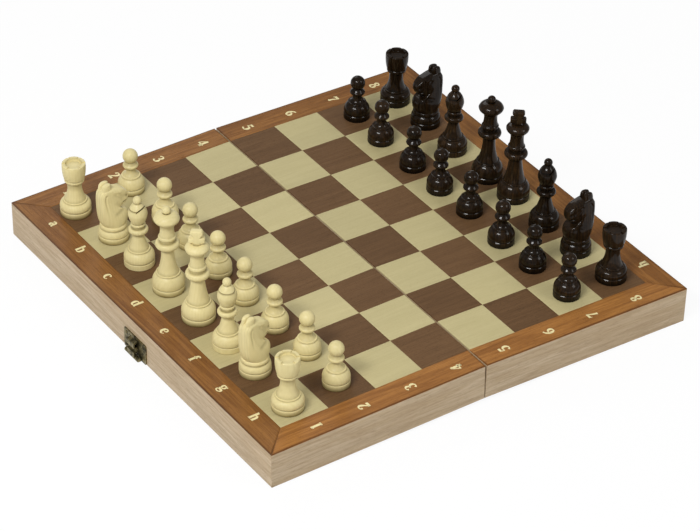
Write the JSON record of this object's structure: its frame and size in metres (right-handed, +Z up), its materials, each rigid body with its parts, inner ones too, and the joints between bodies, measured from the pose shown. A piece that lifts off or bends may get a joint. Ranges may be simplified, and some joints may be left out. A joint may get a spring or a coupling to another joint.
{
  "type": "folding chess box",
  "caption": "Wooden chess box of two hinged halves, opened flat as a board, with a brass clasp, lined trays and a full set of turned men.",
  "frame": {"origin": "on the surface the box stands on, below the middle of the fold", "axes": "+X from the white end to the black end, +Y from file h to file a, +Z up"},
  "size_m": [0.3079, 0.3, 0.0895],
  "materials": {
    "maple": "satin",
    "walnut": "satin",
    "mahogany": "satin",
    "side_veneer": "satin",
    "panel_board": "matte",
    "felt": "matte",
    "boxwood": "satin",
    "lacquered_wood": "gloss",
    "antique_brass": "satin",
    "hinge_brass": "satin"
  },
  "bodies": {
    "white_half": {"white_end_wall": "side_veneer", "white_fold_wall": "side_veneer", "white_side_walls": "side_veneer", "white_panel": "panel_board", "white_felt_lining": "felt", "white_light_squares": "maple", "white_dark_squares": "walnut", "white_border_strips": "mahogany", "white_hinge_leaves": "hinge_brass", "white_hinge_screws": "hinge_brass", "hinge_pins": "hinge_brass", "clasp_plate": "antique_brass", "clasp_pin": "antique_brass", "clasp_nails": "antique_brass"},
    "black_half": {"black_end_wall": "side_veneer", "black_fold_wall": "side_veneer", "black_side_walls": "side_veneer", "black_panel": "panel_board", "black_felt_lining": "felt", "black_light_squares": "maple", "black_dark_squares": "walnut", "black_border_strips": "mahogany", "black_hinge_leaves": "hinge_brass", "black_hinge_screws": "hinge_brass", "keeper_plate": "antique_brass", "keeper_nails": "antique_brass"},
    "tongue": {"clasp_tongue": "antique_brass"},
    "white_rook_a1": {"white_rook_a1": "boxwood"},
    "white_pawn_a2": {"white_pawn_a2": "boxwood"},
    "white_knight_b1": {"white_knight_b1": "boxwood"},
    "white_pawn_b2": {"white_pawn_b2": "boxwood"},
    "white_bishop_c1": {"white_bishop_c1": "boxwood"},
    "white_pawn_c2": {"white_pawn_c2": "boxwood"},
    "white_queen_d1": {"white_queen_d1": "boxwood"},
    "white_pawn_d2": {"white_pawn_d2": "boxwood"},
    "white_king_e1": {"white_king_e1": "boxwood"},
    "white_pawn_e2": {"white_pawn_e2": "boxwood"},
    "white_bishop_f1": {"white_bishop_f1": "boxwood"},
    "white_pawn_f2": {"white_pawn_f2": "boxwood"},
    "white_knight_g1": {"white_knight_g1": "boxwood"},
    "white_pawn_g2": {"white_pawn_g2": "boxwood"},
    "white_rook_h1": {"white_rook_h1": "boxwood"},
    "white_pawn_h2": {"white_pawn_h2": "boxwood"},
    "black_rook_a8": {"black_rook_a8": "lacquered_wood"},
    "black_pawn_a7": {"black_pawn_a7": "lacquered_wood"},
    "black_knight_b8": {"black_knight_b8": "lacquered_wood"},
    "black_pawn_b7": {"black_pawn_b7": "lacquered_wood"},
    "black_bishop_c8": {"black_bishop_c8": "lacquered_wood"},
    "black_pawn_c7": {"black_pawn_c7": "lacquered_wood"},
    "black_queen_d8": {"black_queen_d8": "lacquered_wood"},
    "black_pawn_d7": {"black_pawn_d7": "lacquered_wood"},
    "black_king_e8": {"black_king_e8": "lacquered_wood"},
    "black_pawn_e7": {"black_pawn_e7": "lacquered_wood"},
    "black_bishop_f8": {"black_bishop_f8": "lacquered_wood"},
    "black_pawn_f7": {"black_pawn_f7": "lacquered_wood"},
    "black_knight_g8": {"black_knight_g8": "lacquered_wood"},
    "black_pawn_g7": {"black_pawn_g7": "lacquered_wood"},
    "black_rook_h8": {"black_rook_h8": "lacquered_wood"},
    "black_pawn_h7": {"black_pawn_h7": "lacquered_wood"}
  },
  "joints": [
    {"name": "board_fold", "type": "hinge", "parent": "white_half", "child": "black_half", "pos_m": [0, 0, 0.0025], "axis": [0, 1, 0], "range_deg": [-2, 177.9]},
    {"name": "clasp_swing", "type": "hinge", "parent": "white_half", "child": "tongue", "pos_m": [-0.15291, 0, 0.00195], "axis": [0, -1, 0], "range_deg": [0, 180]},
    {"name": "lift_white_rook_a1", "type": "slide", "parent": "white_half", "child": "white_rook_a1", "axis": [-0.0176, 0, 0.9998], "range_m": [0, 0.1]},
    {"name": "lift_white_pawn_a2", "type": "slide", "parent": "white_half", "child": "white_pawn_a2", "axis": [-0.0176, 0, 0.9998], "range_m": [0, 0.1]},
    {"name": "lift_white_knight_b1", "type": "slide", "parent": "white_half", "child": "white_knight_b1", "axis": [-0.0176, 0, 0.9998], "range_m": [0, 0.1]},
    {"name": "lift_white_pawn_b2", "type": "slide", "parent": "white_half", "child": "white_pawn_b2", "axis": [-0.0176, 0, 0.9998], "range_m": [0, 0.1]},
    {"name": "lift_white_bishop_c1", "type": "slide", "parent": "white_half", "child": "white_bishop_c1", "axis": [-0.0176, 0, 0.9998], "range_m": [0, 0.1]},
    {"name": "lift_white_pawn_c2", "type": "slide", "parent": "white_half", "child": "white_pawn_c2", "axis": [-0.0176, 0, 0.9998], "range_m": [0, 0.1]},
    {"name": "lift_white_queen_d1", "type": "slide", "parent": "white_half", "child": "white_queen_d1", "axis": [-0.0176, 0, 0.9998], "range_m": [0, 0.1]},
    {"name": "lift_white_pawn_d2", "type": "slide", "parent": "white_half", "child": "white_pawn_d2", "axis": [-0.0176, 0, 0.9998], "range_m": [0, 0.1]},
    {"name": "lift_white_king_e1", "type": "slide", "parent": "white_half", "child": "white_king_e1", "axis": [-0.0176, 0, 0.9998], "range_m": [0, 0.1]},
    {"name": "lift_white_pawn_e2", "type": "slide", "parent": "white_half", "child": "white_pawn_e2", "axis": [-0.0176, 0, 0.9998], "range_m": [0, 0.1]},
    {"name": "lift_white_bishop_f1", "type": "slide", "parent": "white_half", "child": "white_bishop_f1", "axis": [-0.0176, 0, 0.9998], "range_m": [0, 0.1]},
    {"name": "lift_white_pawn_f2", "type": "slide", "parent": "white_half", "child": "white_pawn_f2", "axis": [-0.0176, 0, 0.9998], "range_m": [0, 0.1]},
    {"name": "lift_white_knight_g1", "type": "slide", "parent": "white_half", "child": "white_knight_g1", "axis": [-0.0176, 0, 0.9998], "range_m": [0, 0.1]},
    {"name": "lift_white_pawn_g2", "type": "slide", "parent": "white_half", "child": "white_pawn_g2", "axis": [-0.0176, 0, 0.9998], "range_m": [0, 0.1]},
    {"name": "lift_white_rook_h1", "type": "slide", "parent": "white_half", "child": "white_rook_h1", "axis": [-0.0176, 0, 0.9998], "range_m": [0, 0.1]},
    {"name": "lift_white_pawn_h2", "type": "slide", "parent": "white_half", "child": "white_pawn_h2", "axis": [-0.0176, 0, 0.9998], "range_m": [0, 0.1]},
    {"name": "lift_black_rook_a8", "type": "slide", "parent": "black_half", "child": "black_rook_a8", "axis": [0.0176, 0, 0.9998], "range_m": [0, 0.1]},
    {"name": "lift_black_pawn_a7", "type": "slide", "parent": "black_half", "child": "black_pawn_a7", "axis": [0.0176, 0, 0.9998], "range_m": [0, 0.1]},
    {"name": "lift_black_knight_b8", "type": "slide", "parent": "black_half", "child": "black_knight_b8", "axis": [0.0176, 0, 0.9998], "range_m": [0, 0.1]},
    {"name": "lift_black_pawn_b7", "type": "slide", "parent": "black_half", "child": "black_pawn_b7", "axis": [0.0176, 0, 0.9998], "range_m": [0, 0.1]},
    {"name": "lift_black_bishop_c8", "type": "slide", "parent": "black_half", "child": "black_bishop_c8", "axis": [0.0176, 0, 0.9998], "range_m": [0, 0.1]},
    {"name": "lift_black_pawn_c7", "type": "slide", "parent": "black_half", "child": "black_pawn_c7", "axis": [0.0176, 0, 0.9998], "range_m": [0, 0.1]},
    {"name": "lift_black_queen_d8", "type": "slide", "parent": "black_half", "child": "black_queen_d8", "axis": [0.0176, 0, 0.9998], "range_m": [0, 0.1]},
    {"name": "lift_black_pawn_d7", "type": "slide", "parent": "black_half", "child": "black_pawn_d7", "axis": [0.0176, 0, 0.9998], "range_m": [0, 0.1]},
    {"name": "lift_black_king_e8", "type": "slide", "parent": "black_half", "child": "black_king_e8", "axis": [0.0176, 0, 0.9998], "range_m": [0, 0.1]},
    {"name": "lift_black_pawn_e7", "type": "slide", "parent": "black_half", "child": "black_pawn_e7", "axis": [0.0176, 0, 0.9998], "range_m": [0, 0.1]},
    {"name": "lift_black_bishop_f8", "type": "slide", "parent": "black_half", "child": "black_bishop_f8", "axis": [0.0176, 0, 0.9998], "range_m": [0, 0.1]},
    {"name": "lift_black_pawn_f7", "type": "slide", "parent": "black_half", "child": "black_pawn_f7", "axis": [0.0176, 0, 0.9998], "range_m": [0, 0.1]},
    {"name": "lift_black_knight_g8", "type": "slide", "parent": "black_half", "child": "black_knight_g8", "axis": [0.0176, 0, 0.9998], "range_m": [0, 0.1]},
    {"name": "lift_black_pawn_g7", "type": "slide", "parent": "black_half", "child": "black_pawn_g7", "axis": [0.0176, 0, 0.9998], "range_m": [0, 0.1]},
    {"name": "lift_black_rook_h8", "type": "slide", "parent": "black_half", "child": "black_rook_h8", "axis": [0.0176, 0, 0.9998], "range_m": [0, 0.1]},
    {"name": "lift_black_pawn_h7", "type": "slide", "parent": "black_half", "child": "black_pawn_h7", "axis": [0.0176, 0, 0.9998], "range_m": [0, 0.1]}
  ]
}
